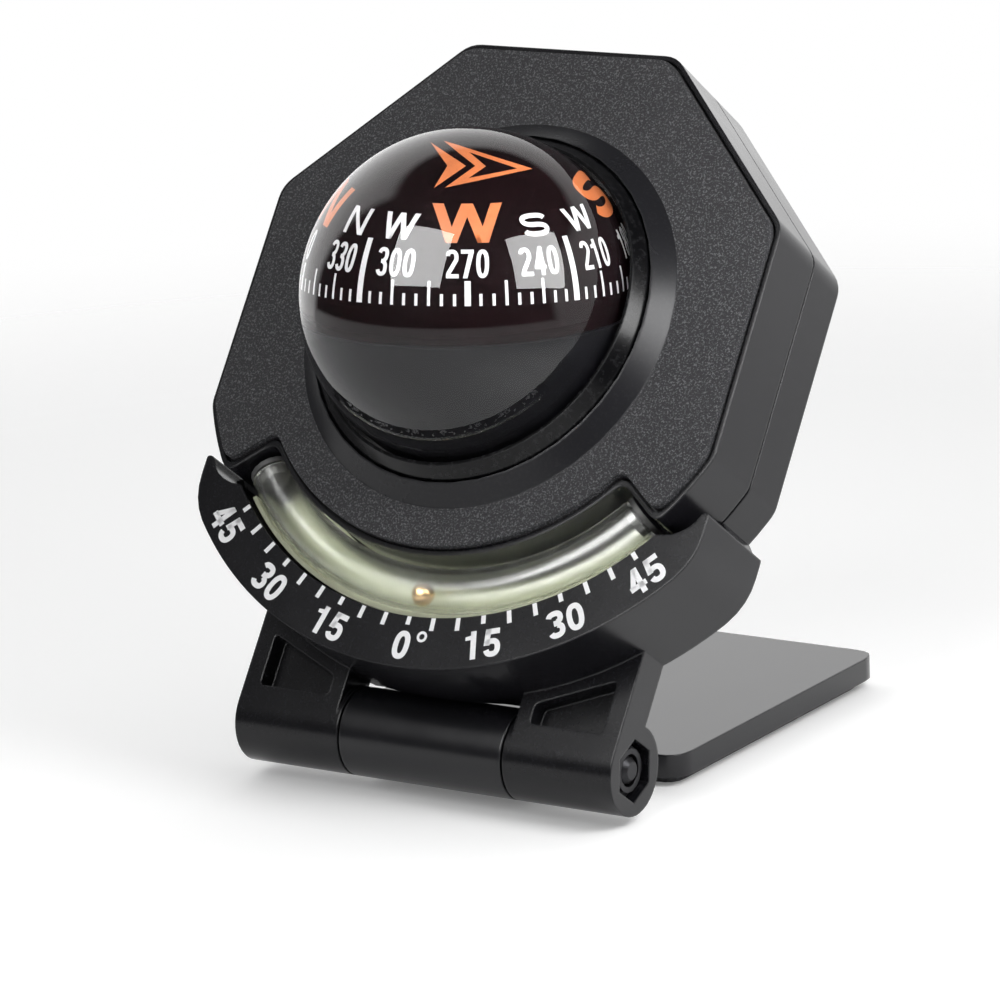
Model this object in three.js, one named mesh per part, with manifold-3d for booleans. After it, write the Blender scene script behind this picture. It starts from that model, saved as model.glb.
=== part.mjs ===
// Car dashboard compass: an octagonal head that tilts on a stick-on base, with a floating card
// in a clear ball and a rolling-ball inclinometer under the dial.
// Millimetres, +X to the right, +Y back, +Z up, the origin in the middle of the pad's underside.

import * as THREE from 'three';
import { mergeVertices } from 'three/addons/utils/BufferGeometryUtils.js';
import Module from 'manifold-3d';

const wasm = await Module();
wasm.setup();

// Angles, counts and shares
const degree = Math.PI / 180;
const quarterTurn = Math.PI / 2;
const halfTurn = Math.PI;
const fullTurn = 2 * Math.PI;
const headLean = 35.6 * degree;
const cardDip = 5.7 * degree;
const dipAzimuth = 15.7 * degree;
const arcSteps = 24;
const hornSteps = 5;
const cornerSteps = 4;
const roundSteps = 40;
const smallRoundSteps = 16;
const ballSteps = 9;
const tubeSteps = 24;
const tubeSides = 14;
const hexSides = 6;
const onAxis = 1e-6;

// Clearances
const seat = 0.3;
const overrun = 2;

// Housing, drawn from the front: x to the right, y up the dial, z out of it, origin on the dial's centre
const faceBorder = 9.5;
const backWall = 1.2;
const frontShellDepth = 8.6;
const wall = 1.8;
const faceWall = 1.5;
const cornerRound = 1.5;
const rimWidth = 0.5;
const rimHeight = 1.1;
const faceRise = 0.7;
const toothRound = 1.5;

// Clear ball and the raised bezel round it
const ballRadius = 18.7;
const ballCentreHeight = 4.9;
const ballWall = 1.3;
const collarWidth = 1.7;
const flangeReach = 1.6;
const flangeThickness = 1;
const flangeLevel = -1.1;
const gasketThickness = 0.6;
const collarTop = 4.2;
const collarShoulder = 2.6;
const collarLip = 0.35;
const bezelWall = 1;
const bezelTop = 2.6;
const plugRadius = 1.5;

// Inclinometer: slot, tube, scale crescent and horns on arcs about one centre
const arcRise = 0.5;
const slotInset = 3.9;
const slotHalfAngle = 51.7 * degree;
const crescentWidth = 5.85;
const crescentDrop = 2.2;
const crescentRound = 3;
const hornStart = 50.1 * degree;
const hornBendReach = 3.77;
const hornTipReach = 1.1;
const hornTipRise = 3;
const hornTipRound = 0.35;
const hornRootAngle = 57.1 * degree;
const hornRootRise = 1.4;
const channelFloor = 9.2;
const channelWall = 1.2;
const tubeRadius = 2.5;
const tubeBore = 1.9;
const tubeDepth = 3.6;
const tubeHalfAngle = 49.2 * degree;
const tubePlugLength = 0.9;
const tubePlugHead = 0.6;
const rollBallRadius = 1.25;
const stripHalfAngle = 47.5 * degree;
const stripThickness = 0.45;
const stripFront = 3.3;

// Hinge: two arms of the head and the base's knuckle on one bolt
const hingeDrop = 3.85;
const hingeSetback = 0.44;
const knuckleRadius = 4.96;
const barrelHalf = 24.42;
const knuckleSplit = 10.6;
const splitGap = 0.15;
const armInner = 11.3;
const armLap = 2.45;
const pocketSide = 2.17;
const pocketInset = 1.8;
const pocketRise = 2.15;
const pocketOuterHeight = 6.05;
const pocketInnerHeight = 2.3;
const pocketDepth = 2.2;
const pocketRound = 0.6;
const boltRadius = 1.5;
const boltHeadRadius = 2.75;
const boltHeadThickness = 2;
const boltHeadInset = 0.4;
const boltTipInset = 0.3;
const boltTipTaper = 0.5;
const socketRadius = 1.3;
const socketDepth = 1.2;
const washerThickness = 0.5;
const nutAcrossFlats = 5.5;
const nutThickness = 2;
const nutCollarRadius = 2.45;
const nutCollarHeight = 0.6;
const nutInset = 0.6;

// Base plate and its adhesive pad
const plateLength = 45.7;
const plateWidth = 44.6;
const plateThickness = 2.67;
const plateCorner = 3;
const plateSetback = 12.6;
const footReach = 0.5;
const padThickness = 1;
const padInset = 1.5;

// Screws that hold the front shell to the back housing
const screwInset = 5;
const screwAngles = [45 * degree, 135 * degree, 192 * degree, -12 * degree];
const screwRadius = 1.1;
const screwHeadRadius = 2;
const screwHeadThickness = 1.6;
const screwHeadInset = 0.4;
const bossRadius = 2.7;
const bossFloor = 1.2;

// Inner ball: levelled bowl, ballast, pivot and card, drawn about the clear ball's centre
const cardGap = 0.5;
const cardWall = 1;
const cardEdge = -3.2;
const webThickness = 0.8;
const webRise = 0.3;
const ventRadius = 2;
const ventCount = 4;
const hubRadius = 2.4;
const hubTop = 2.6;
const jewelRadius = 1.4;
const jewelBottom = -0.4;
const jewelCone = 1;
const magnetLength = 12;
const magnetWidth = 2;
const magnetHeight = 1.6;
const magnetReach = 4.6;
const bowlWall = 1.5;
const bowlRim = -1.6;
const ballastDepth = 4.3;
const postRadius = 1.4;
const postTop = -4.6;
const needleRadius = 0.35;
const needleShoulder = -1.4;
const needleTip = 0.9;

// Sizes that follow from the ones above
const ballBore = ballRadius - ballWall;
const housingDepth = ballRadius - ballCentreHeight + seat + backWall;
const hingeDepth = housingDepth + hingeSetback;
const collarRadius = ballRadius + collarWidth;
const flangeRadius = collarRadius + flangeReach;
const bezelRadius = flangeRadius + bezelWall;
const half = bezelRadius + faceBorder;
const octagonCorner = half * Math.tan(halfTurn / 8);
const hookRadius = Math.hypot(half, octagonCorner + arcRise);
const partingDepth = frontShellDepth + seat;
const flangeUnderside = flangeLevel - flangeThickness;
const gasketTop = flangeUnderside - seat;
const bowlFlangeTop = gasketTop - gasketThickness - seat;
const sleeveTop = bowlFlangeTop - flangeThickness - seat;
const plateRecess = rimHeight;
const inlayThickness = plateRecess - seat;
const bowlRadius = ballBore - seat;
const ballastRadius = bowlRadius - bowlWall - seat;
const ballastTop = ballastDepth - ballastRadius;
const cardRadius = bowlRadius - bowlWall - cardGap;
const ventReach = (cardRadius - cardWall + hubRadius) / 2;
const slotRadius = half - slotInset;
const tubeArcRadius = slotRadius + seat + tubeRadius;
const stripRadius = tubeArcRadius + tubeRadius + seat + stripThickness;
const scaleRadius = stripRadius + seat;
const crescentRadius = scaleRadius + crescentWidth;
const hingeDown = crescentRadius - arcRise + hingeDrop;
const armTop = Math.sqrt(scaleRadius ** 2 - barrelHalf ** 2) - arcRise + armLap;
const armFront = hingeDepth - knuckleRadius;
const screwReach = half - screwInset;
const screwTip = plateRecess + faceWall + bossFloor + seat;
const boltHoleRadius = boltRadius + seat;
const recessAcrossFlats = nutAcrossFlats + 2 * seat;
const nutOuterFace = barrelHalf - nutInset;
const nutSeat = nutOuterFace - nutCollarHeight - nutThickness - seat;
const headOuterFace = barrelHalf - boltHeadInset;
const headInnerFace = headOuterFace - boltHeadThickness;
const washerInnerFace = headInnerFace - seat - washerThickness;
const headRecess = washerInnerFace - seat;
const boltHeadPocket = boltHeadRadius + seat;
const hingeHeight = padThickness + knuckleRadius;
const hingeForward = plateSetback + plateLength / 2;
const rollBallArc = tubeArcRadius + tubeBore - rollBallRadius - seat / 2;

// Triangles of a three.js geometry as a manifold solid
function solid(geometry) {
  const bare = geometry.clone();
  bare.deleteAttribute('normal');
  bare.deleteAttribute('uv');
  const merged = mergeVertices(bare);
  const corners = Array.from(merged.index.array);
  const kept = [];
  for (let i = 0; i < corners.length; i += 3) {
    const [a, b, c] = corners.slice(i, i + 3);
    if (a !== b && b !== c && c !== a) {
      kept.push(a, b, c);
    }
  }
  const vertProperties = Float32Array.from(merged.attributes.position.array);
  const triVerts = Uint32Array.from(kept);
  return new wasm.Manifold(new wasm.Mesh({ numProp: 3, vertProperties, triVerts }));
}

function join(...solids) {
  return solids.reduce((all, one) => all.add(one));
}

function cut(body, ...tools) {
  return tools.reduce((left, tool) => left.subtract(tool), body);
}

// A solid as a named mesh with its own material
function piece(name, body, color, roughness, metalness = 0) {
  const mesh = body.getMesh();
  const geometry = new THREE.BufferGeometry();
  geometry.setAttribute('position', new THREE.BufferAttribute(mesh.vertProperties, 3));
  geometry.setIndex(new THREE.BufferAttribute(mesh.triVerts, 1));
  geometry.computeVertexNormals();
  const material = new THREE.MeshStandardMaterial({ color, roughness, metalness, flatShading: true });
  const result = new THREE.Mesh(geometry, material);
  result.name = name;
  return result;
}

// Outline through corners [x, y, round], where round is the length taken off each side of a corner
function outline(corners) {
  const shape = new THREE.Shape();
  const count = corners.length;
  corners.forEach(([x, y, round = 0], i) => {
    const corner = new THREE.Vector2(x, y);
    if (round === 0) {
      shape[i === 0 ? 'moveTo' : 'lineTo'](x, y);
      return;
    }
    const [beforeX, beforeY] = corners[(i + count - 1) % count];
    const [afterX, afterY] = corners[(i + 1) % count];
    const start = new THREE.Vector2(beforeX, beforeY).sub(corner).setLength(round).add(corner);
    const end = new THREE.Vector2(afterX, afterY).sub(corner).setLength(round).add(corner);
    shape[i === 0 ? 'moveTo' : 'lineTo'](start.x, start.y);
    shape.quadraticCurveTo(x, y, end.x, end.y);
  });
  return shape;
}

function mirrored(rightHalf) {
  const leftHalf = rightHalf.filter(([x]) => x > onAxis).reverse();
  return [...rightHalf, ...leftHalf.map(([x, y, round]) => [-x, y, round])];
}

// Point on an arc about the scale's centre, the angle counted from straight down
function onArc(radius, angle) {
  return [radius * Math.sin(angle), arcRise - radius * Math.cos(angle)];
}

function arc(radius, from, to, steps = arcSteps) {
  const points = [];
  for (let i = 0; i <= steps; i += 1) {
    points.push(onArc(radius, from + (to - from) * (i / steps)));
  }
  return points;
}

function extrude(shape, from, to) {
  const options = { depth: to - from, bevelEnabled: false, curveSegments: cornerSteps };
  const geometry = new THREE.ExtrudeGeometry(shape, options);
  geometry.translate(0, 0, from);
  return solid(geometry);
}

// Outline drawn in the (y, z) plane, extruded along x
function extrudeAcross(shape, from, to, steps = smallRoundSteps) {
  const options = { depth: to - from, bevelEnabled: false, curveSegments: steps / 2 };
  const geometry = new THREE.ExtrudeGeometry(shape, options);
  const axes = new THREE.Matrix4().makeBasis(
    new THREE.Vector3(0, 1, 0),
    new THREE.Vector3(0, 0, 1),
    new THREE.Vector3(1, 0, 0),
  );
  geometry.applyMatrix4(axes);
  geometry.translate(from, 0, 0);
  return solid(geometry);
}

// Profile of [radius, height] points revolved about z, listed so that its outside lies to the right
function revolve(profile, steps = roundSteps) {
  const points = profile.map(([radius, height]) => new THREE.Vector2(radius, height));
  const geometry = new THREE.LatheGeometry(points, steps);
  geometry.rotateX(quarterTurn);
  return solid(geometry);
}

function disc(radius, from, to, steps = roundSteps) {
  return revolve([[0, from], [radius, from], [radius, to], [0, to]], steps);
}

function ring(inner, outer, from, to, steps = roundSteps) {
  return revolve([[inner, from], [outer, from], [outer, to], [inner, to], [inner, from]], steps);
}

// A solid revolved about z, laid along x
function alongX(body) {
  return body.rotate([0, quarterTurn / degree, 0]);
}

// Cylinder along x about the axis through (y, z)
function axle(radius, from, to, y, z, steps = smallRoundSteps) {
  const shape = new THREE.Shape();
  shape.absarc(y, z, radius, 0, fullTurn);
  return extrudeAcross(shape, from, to, steps);
}

// Points of a sphere's profile between two heights, for revolve
function spherePoints(radius, fromHeight, toHeight, centre = 0, steps = ballSteps) {
  const angleAt = (height) => Math.asin(THREE.MathUtils.clamp((height - centre) / radius, -1, 1));
  const start = angleAt(fromHeight);
  const end = angleAt(toHeight);
  const points = [];
  for (let i = 0; i <= steps; i += 1) {
    const angle = start + (end - start) * (i / steps);
    points.push([Math.max(0, radius * Math.cos(angle)), centre + radius * Math.sin(angle)]);
  }
  return points;
}

// Part of a ring about the scale's centre, as wide as the angle on both sides of straight down
function arcBand(inner, outer, halfAngle, from, to) {
  const corners = [...arc(inner, -halfAngle, halfAngle), ...arc(outer, halfAngle, -halfAngle)];
  return extrude(outline(corners), from, to);
}

// Octagon whose lower corners run out into an arc, stepped in over the inclinometer's slot
function housingOutline(slot, inset, round = 0) {
  const side = half - inset;
  const corner = side * Math.tan(halfTurn / 8);
  const hook = hookRadius - inset;
  const step = slot - inset;
  const sideAngle = Math.asin(side / hook);
  const hookAngle = slotHalfAngle + Math.asin(inset / hook);
  const stepAngle = slotHalfAngle + Math.asin(inset / step);
  const sideClear = (cornerRound / 2 + seat) / hook;
  const clear = (round + seat) / step;
  return outline(mirrored([
    [corner, side, cornerRound],
    [side, corner, cornerRound],
    [...onArc(hook, sideAngle), cornerRound / 2],
    ...arc(hook, sideAngle - sideClear, hookAngle + clear, cornerSteps),
    [...onArc(hook, hookAngle), round],
    [...onArc(step, stepAngle), round],
    ...arc(step, stepAngle - clear, 0),
  ]));
}

// Corners of the right horn: root on the scale's edge, bend and tip
function hornCorners() {
  const [rootX, rootY] = onArc(scaleRadius, hornStart);
  const bendX = rootX + hornBendReach;
  return {
    root: [rootX, rootY],
    bend: [bendX, rootY],
    tip: [bendX + hornTipReach, rootY + hornTipRise],
    web: [bendX, rootY + hornTipRise + hornRootRise],
  };
}

// Scale crescent with its two horns
function crescentOutline() {
  const { root, bend, tip } = hornCorners();
  const curve = new THREE.QuadraticBezierCurve(
    new THREE.Vector2(...root),
    new THREE.Vector2(...bend),
    new THREE.Vector2(...tip),
  );
  const horn = curve.getPoints(hornSteps).slice(1, -1).map((point) => point.toArray());
  const sideAngle = Math.asin(half / crescentRadius);
  const clear = (crescentRound + seat) / crescentRadius;
  return outline(mirrored([
    ...arc(scaleRadius, 0, hornStart),
    ...horn,
    [...tip, hornTipRound],
    [half, tip[1], hornTipRound],
    [...onArc(crescentRadius, sideAngle), crescentRound],
    ...arc(crescentRadius, sideAngle - clear, 0),
  ]));
}

// Web that ties a horn to the housing behind the front shell
function hornRoots() {
  const { root, bend, tip, web } = hornCorners();
  const corners = [root, bend, tip, web, onArc(hookRadius - wall, hornRootAngle)];
  const right = extrude(outline(corners), -housingDepth, -partingDepth);
  const left = extrude(outline(corners.map(([x, y]) => [-x, y]).reverse()), -housingDepth, -partingDepth);
  return join(right, left);
}

// One arm of the head down to its knuckle, on the side given by its sign
function arm(sign) {
  const neck = new THREE.Shape();
  neck.moveTo(-armTop, -armFront);
  neck.lineTo(-armTop, -housingDepth);
  neck.lineTo(-hingeDown, -housingDepth);
  neck.lineTo(-hingeDown, -armFront);
  const inner = knuckleSplit + splitGap;
  const ends = (from, to) => (sign > 0 ? [from, to] : [-to, -from]);
  const upper = extrudeAcross(neck, ...ends(armInner, barrelHalf));
  const knuckle = axle(knuckleRadius, ...ends(inner, barrelHalf), -hingeDown, -hingeDepth, roundSteps);
  const clearScale = extrude(outline(mirrored([
    [half, 0],
    ...arc(scaleRadius, Math.asin(half / scaleRadius), 0),
  ])), -housingDepth - overrun, 0);
  return join(cut(upper, clearScale), knuckle);
}

// Slanted pocket in an arm's front face
function armPocket(sign) {
  const inner = armInner + pocketInset;
  const outer = barrelHalf - pocketSide;
  const bottom = pocketRise - hingeDown;
  const corners = [
    [inner, bottom + pocketInnerHeight, pocketRound],
    [inner, bottom, pocketRound],
    [outer, bottom, pocketRound],
    [outer, bottom + pocketOuterHeight, pocketRound],
  ];
  const side = sign > 0 ? corners : corners.map(([x, y, round]) => [-x, y, round]).reverse();
  return extrude(outline(side), -armFront - pocketDepth, -armFront + overrun);
}

function hexagon(width) {
  const corners = [];
  for (let i = 0; i < hexSides; i += 1) {
    const angle = quarterTurn + i * (fullTurn / hexSides);
    const reach = width / 2 / Math.cos(halfTurn / hexSides);
    corners.push([-hingeDown + reach * Math.cos(angle), -hingeDepth + reach * Math.sin(angle)]);
  }
  return outline(corners);
}

function screwPlace(angle) {
  return [screwReach * Math.cos(angle), screwReach * Math.sin(angle)];
}

function atScrews(make) {
  return screwAngles.map((angle) => make().translate([...screwPlace(angle), 0]));
}

// Back half of the housing, in one moulding with the scale crescent, the arms and their knuckles
function backHousing() {
  const fused = scaleRadius + wall;
  const tray = cut(
    extrude(housingOutline(fused, 0), -housingDepth, -partingDepth),
    extrude(housingOutline(fused, wall), backWall - housingDepth, overrun - partingDepth),
  );
  const floor = arcBand(
    slotRadius - wall,
    fused,
    slotHalfAngle,
    -channelFloor - channelWall,
    -channelFloor,
  );
  const innerWall = arcBand(
    slotRadius - wall,
    slotRadius - wall + channelWall,
    slotHalfAngle,
    -housingDepth + backWall / 2,
    -channelFloor,
  );
  const sleeve = ring(flangeRadius - wall, flangeRadius, -housingDepth + backWall / 2, sleeveTop);
  const crescent = extrude(crescentOutline(), -housingDepth, -crescentDrop);
  const bosses = atScrews(() => disc(
    bossRadius,
    backWall / 2 - housingDepth,
    -partingDepth,
    smallRoundSteps,
  ));
  const body = join(tray, floor, innerWall, sleeve, crescent, hornRoots(), arm(1), arm(-1), ...bosses);
  const relief = axle(
    knuckleRadius + seat,
    -knuckleSplit - splitGap,
    knuckleSplit + splitGap,
    -hingeDown,
    -hingeDepth,
    roundSteps,
  );
  const bore = axle(boltHoleRadius, -barrelHalf - overrun, barrelHalf + overrun, -hingeDown, -hingeDepth);
  const nutRecess = extrudeAcross(hexagon(recessAcrossFlats), nutSeat, barrelHalf + overrun);
  const headHole = axle(
    boltHeadPocket,
    -barrelHalf - overrun,
    -headRecess,
    -hingeDown,
    -hingeDepth,
  );
  const screwHoles = atScrews(() => join(
    disc(screwRadius + seat, -housingDepth - overrun, overrun - partingDepth, smallRoundSteps),
    disc(
      screwHeadRadius + seat,
      -housingDepth - overrun,
      screwHeadInset + screwHeadThickness + seat - housingDepth,
      smallRoundSteps,
    ),
  ));
  return cut(body, relief, bore, nutRecess, headHole, armPocket(1), armPocket(-1), ...screwHoles);
}

// Front shell with its low rim, slot walls and screw bosses, open in the middle for the ball
function frontShell() {
  const shell = cut(
    extrude(housingOutline(slotRadius, 0, toothRound), -frontShellDepth, 0),
    extrude(
      housingOutline(slotRadius, wall, toothRound),
      -frontShellDepth - overrun,
      -plateRecess - faceWall,
    ),
    extrude(housingOutline(slotRadius, rimWidth, toothRound), -plateRecess, overrun),
  );
  const bosses = atScrews(() => disc(
    bossRadius,
    -frontShellDepth + seat,
    -plateRecess - faceWall / 2,
    smallRoundSteps,
  ));
  const ballHole = disc(flangeRadius + seat, -frontShellDepth - overrun, overrun);
  const pilots = atScrews(() => disc(
    screwRadius + seat,
    -frontShellDepth - overrun,
    -plateRecess - faceWall - bossFloor,
    smallRoundSteps,
  ));
  return cut(join(shell, ...bosses), ballHole, ...pilots);
}

// Grained face that stands proud of the rim, in one moulding with the smooth cone round the ball
function facePlate() {
  const edge = housingOutline(slotRadius, rimWidth + seat, toothRound);
  const plate = extrude(edge, -inlayThickness, faceRise);
  const cone = revolve([
    [flangeRadius, 0],
    [bezelRadius, 0],
    [bezelRadius, faceRise],
    [collarRadius + seat, bezelTop],
    [collarRadius + seat, 0],
    [flangeRadius, 0],
  ]);
  const ballHole = disc(collarRadius + seat, -overrun, bezelTop + overrun);
  const flangeHole = disc(
    flangeRadius + seat,
    -overrun,
    flangeLevel + flangeThickness + 2 * seat,
  );
  return cut(join(plate, cone), ballHole, flangeHole);
}

// Glossy ring that holds the ball's flange down inside the bezel
function domeCollar() {
  const bore = ballRadius + seat;
  const base = flangeLevel + seat;
  return revolve([
    [bore, base],
    [flangeRadius, base],
    [flangeRadius, base + flangeThickness],
    [collarRadius, base + flangeThickness],
    [collarRadius, collarShoulder],
    [bore + collarLip, collarTop],
    [bore, collarTop],
    [bore, base],
  ]);
}

// Clear front of the ball, with a skirt and a flange below its equator
function domeFront() {
  const top = ballCentreHeight + ballRadius;
  const inner = spherePoints(ballBore, ballCentreHeight + ballBore, ballCentreHeight, ballCentreHeight);
  return revolve([
    ...inner,
    [ballBore, flangeUnderside],
    [flangeRadius, flangeUnderside],
    [flangeRadius, flangeLevel],
    [ballRadius, flangeLevel],
    ...spherePoints(ballRadius, ballCentreHeight, top, ballCentreHeight),
  ]);
}

// Soft ring between the two flanges of the ball
function ballGasket() {
  return ring(ballRadius, flangeRadius, gasketTop - gasketThickness, gasketTop);
}

// Dark back of the ball, hung in the sleeve by its flange, with the filler hole at its pole
function ballBack() {
  const pole = ballCentreHeight - ballRadius;
  const innerPole = ballCentreHeight - ballBore;
  const underside = bowlFlangeTop - flangeThickness;
  const body = revolve([
    ...spherePoints(ballRadius, pole, underside, ballCentreHeight),
    [flangeRadius, underside],
    [flangeRadius, bowlFlangeTop],
    ...spherePoints(ballBore, bowlFlangeTop, innerPole, ballCentreHeight),
  ]);
  return cut(body, disc(plugRadius, pole - overrun, innerPole + overrun, smallRoundSteps));
}

// Plug in the filler hole
function fillerPlug() {
  const pole = ballCentreHeight - ballRadius;
  return disc(plugRadius - seat, pole, pole + ballWall, smallRoundSteps);
}

// Curved glass tube, open at both ends until its plugs close it
function inclinometerTube() {
  const section = new THREE.Shape();
  section.absarc(0, 0, tubeRadius, 0, fullTurn);
  const bore = new THREE.Path();
  bore.absarc(0, 0, tubeBore, 0, fullTurn);
  section.holes.push(bore);
  const path = new THREE.Curve();
  path.getPoint = (share) => {
    const [x, y] = onArc(tubeArcRadius, tubeHalfAngle * (2 * share - 1));
    return new THREE.Vector3(x, y, -tubeDepth);
  };
  const options = { steps: tubeSteps, extrudePath: path, curveSegments: tubeSides / 2 };
  return solid(new THREE.ExtrudeGeometry(section, options));
}

// Stopper in one end of the tube, its head against the glass
function tubePlug(sign) {
  const shank = tubeBore - seat;
  const body = revolve([
    [0, -tubePlugLength],
    [shank, -tubePlugLength],
    [shank, seat],
    [tubeRadius, seat],
    [tubeRadius, seat + tubePlugHead],
    [0, seat + tubePlugHead],
  ], smallRoundSteps);
  const [x, y] = onArc(tubeArcRadius, tubeHalfAngle);
  const turned = alongX(body).rotate([0, 0, tubeHalfAngle / degree]).translate([x, y, -tubeDepth]);
  return sign > 0 ? turned : turned.mirror([1, 0, 0]);
}

// Pale strip behind and below the tube
function luminousStrip() {
  const back = arcBand(
    slotRadius + seat,
    stripRadius,
    stripHalfAngle,
    -channelFloor + seat,
    -channelFloor + seat + stripThickness,
  );
  const lip = arcBand(
    stripRadius - stripThickness,
    stripRadius,
    stripHalfAngle,
    -channelFloor + seat,
    -stripFront,
  );
  return join(back, lip);
}

function housingScrew(angle) {
  const under = -housingDepth + screwHeadInset;
  return revolve([
    [0, under],
    [screwHeadRadius, under],
    [screwHeadRadius, under + screwHeadThickness],
    [screwRadius, under + screwHeadThickness],
    [screwRadius, -screwTip - screwRadius],
    [0, -screwTip],
  ], smallRoundSteps).translate([...screwPlace(angle), 0]);
}

// Bolt through the knuckles, its socket head on the left and its chamfered tip in the nut
function hingeBolt() {
  const tip = barrelHalf - boltTipInset;
  const body = revolve([
    [0, -headOuterFace],
    [boltHeadRadius, -headOuterFace],
    [boltHeadRadius, -headInnerFace],
    [boltRadius, -headInnerFace],
    [boltRadius, tip - boltTipTaper],
    [boltRadius - boltTipTaper, tip],
    [0, tip],
  ], smallRoundSteps);
  const socket = disc(socketRadius, -headOuterFace - overrun, -headOuterFace + socketDepth, hexSides);
  return alongX(cut(body, socket)).translate([0, -hingeDown, -hingeDepth]);
}

function hingeWasher() {
  const outer = -headInnerFace + seat;
  const washer = ring(boltHoleRadius, boltHeadRadius, outer, -washerInnerFace, smallRoundSteps);
  return alongX(washer).translate([0, -hingeDown, -hingeDepth]);
}

// Hexagon nut with a round locking collar
function hingeNut() {
  const start = nutSeat + seat;
  const body = extrudeAcross(hexagon(nutAcrossFlats), start, start + nutThickness);
  const collar = axle(
    nutCollarRadius,
    start + nutThickness / 2,
    start + nutThickness + nutCollarHeight,
    -hingeDown,
    -hingeDepth,
  );
  const bore = axle(boltHoleRadius, start - overrun, barrelHalf + overrun, -hingeDown, -hingeDepth);
  return cut(join(body, collar), bore);
}

// Base plate with the tongue and the knuckle that the arms turn about
function basePlate() {
  const back = plateLength / 2;
  const side = plateWidth / 2;
  const plate = extrude(outline([
    [-side, -back, plateCorner],
    [side, -back, plateCorner],
    [side, back, plateCorner],
    [-side, back, plateCorner],
  ]), padThickness, padThickness + plateThickness);
  const tongueFront = -hingeForward - footReach;
  const tongue = extrudeAcross(outline([
    [tongueFront, padThickness],
    [overrun - back, padThickness],
    [overrun - back, padThickness + plateThickness],
    [tongueFront, padThickness + plateThickness],
  ]), splitGap - knuckleSplit, knuckleSplit - splitGap);
  const knuckle = axle(
    knuckleRadius,
    splitGap - knuckleSplit,
    knuckleSplit - splitGap,
    -hingeForward,
    hingeHeight,
    roundSteps,
  );
  const bore = axle(boltHoleRadius, -knuckleSplit, knuckleSplit, -hingeForward, hingeHeight);
  return cut(join(plate, tongue, knuckle), bore);
}

function adhesivePad() {
  const back = plateLength / 2 - padInset;
  const side = plateWidth / 2 - padInset;
  const round = plateCorner - padInset / 2;
  return extrude(outline([
    [-side, -back, round],
    [side, -back, round],
    [side, back, round],
    [-side, back, round],
  ]), 0, padThickness);
}

// Card: a domed shell with a web under it that carries the hub and the magnets
function compassCard() {
  const inner = cardRadius - cardWall;
  const webTop = cardEdge + webRise + webThickness;
  const shell = revolve([
    ...spherePoints(inner, inner, cardEdge),
    ...spherePoints(cardRadius, cardEdge, cardRadius),
  ]);
  const web = disc(inner, cardEdge + webRise, webTop);
  const hub = disc(hubRadius, cardEdge + webRise, hubTop + cardWall, smallRoundSteps);
  const vents = [];
  for (let i = 0; i < ventCount; i += 1) {
    const angle = i * (fullTurn / ventCount) + quarterTurn / 2;
    const vent = disc(ventRadius, cardEdge - overrun, webTop + overrun, smallRoundSteps);
    vents.push(vent.translate([ventReach * Math.cos(angle), ventReach * Math.sin(angle), 0]));
  }
  const jewelHole = disc(jewelRadius + seat, cardEdge - overrun, hubTop, smallRoundSteps);
  return cut(join(shell, web, hub), jewelHole, ...vents);
}

// Bearing cup in the hub, hollowed to a cone that sits over the needle
function jewelCup() {
  return revolve([
    [0, needleTip + seat],
    [jewelCone, jewelBottom],
    [jewelRadius, jewelBottom],
    [jewelRadius, hubTop - seat],
    [0, hubTop - seat],
  ], smallRoundSteps);
}

function cardMagnet(sign) {
  const top = cardEdge + webRise - seat;
  const geometry = new THREE.BoxGeometry(magnetLength, magnetWidth, magnetHeight);
  geometry.translate(0, sign * magnetReach, top - magnetHeight / 2);
  return solid(geometry);
}

// Bowl that stays level in the ball, with the boss that the pivot stands in
function levelBowl() {
  const inner = bowlRadius - bowlWall;
  return revolve([
    ...spherePoints(bowlRadius, -bowlRadius, bowlRim),
    ...spherePoints(inner, bowlRim, -inner),
  ]);
}

// Ballast in the bottom of the bowl
function ballastWeight() {
  const hole = postRadius + seat;
  const body = revolve([...spherePoints(ballastRadius, -ballastRadius, ballastTop), [0, ballastTop]]);
  return cut(body, disc(hole, -bowlRadius - overrun, ballastTop + overrun, smallRoundSteps));
}

// Post with the needle that the card turns on
function pivotPost() {
  return revolve([
    [0, -ballastRadius],
    [postRadius, seat - ballastRadius],
    [postRadius, postTop],
    [needleRadius, postTop + postRadius],
    [needleRadius, needleShoulder],
    [0, needleTip],
  ], smallRoundSteps);
}

// Assembly: the base stands still, the head leans back about the bolt, the inner ball stays level
const compass = new THREE.Group();
compass.add(
  piece('base_plate', basePlate(), 0x2a2b2f, 0.3),
  piece('adhesive_pad', adhesivePad(), 0x3a3b3d, 0.9),
);

const hinge = new THREE.Group();
hinge.position.set(0, -hingeForward, hingeHeight);
hinge.rotation.x = quarterTurn - headLean;
compass.add(hinge);

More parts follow.
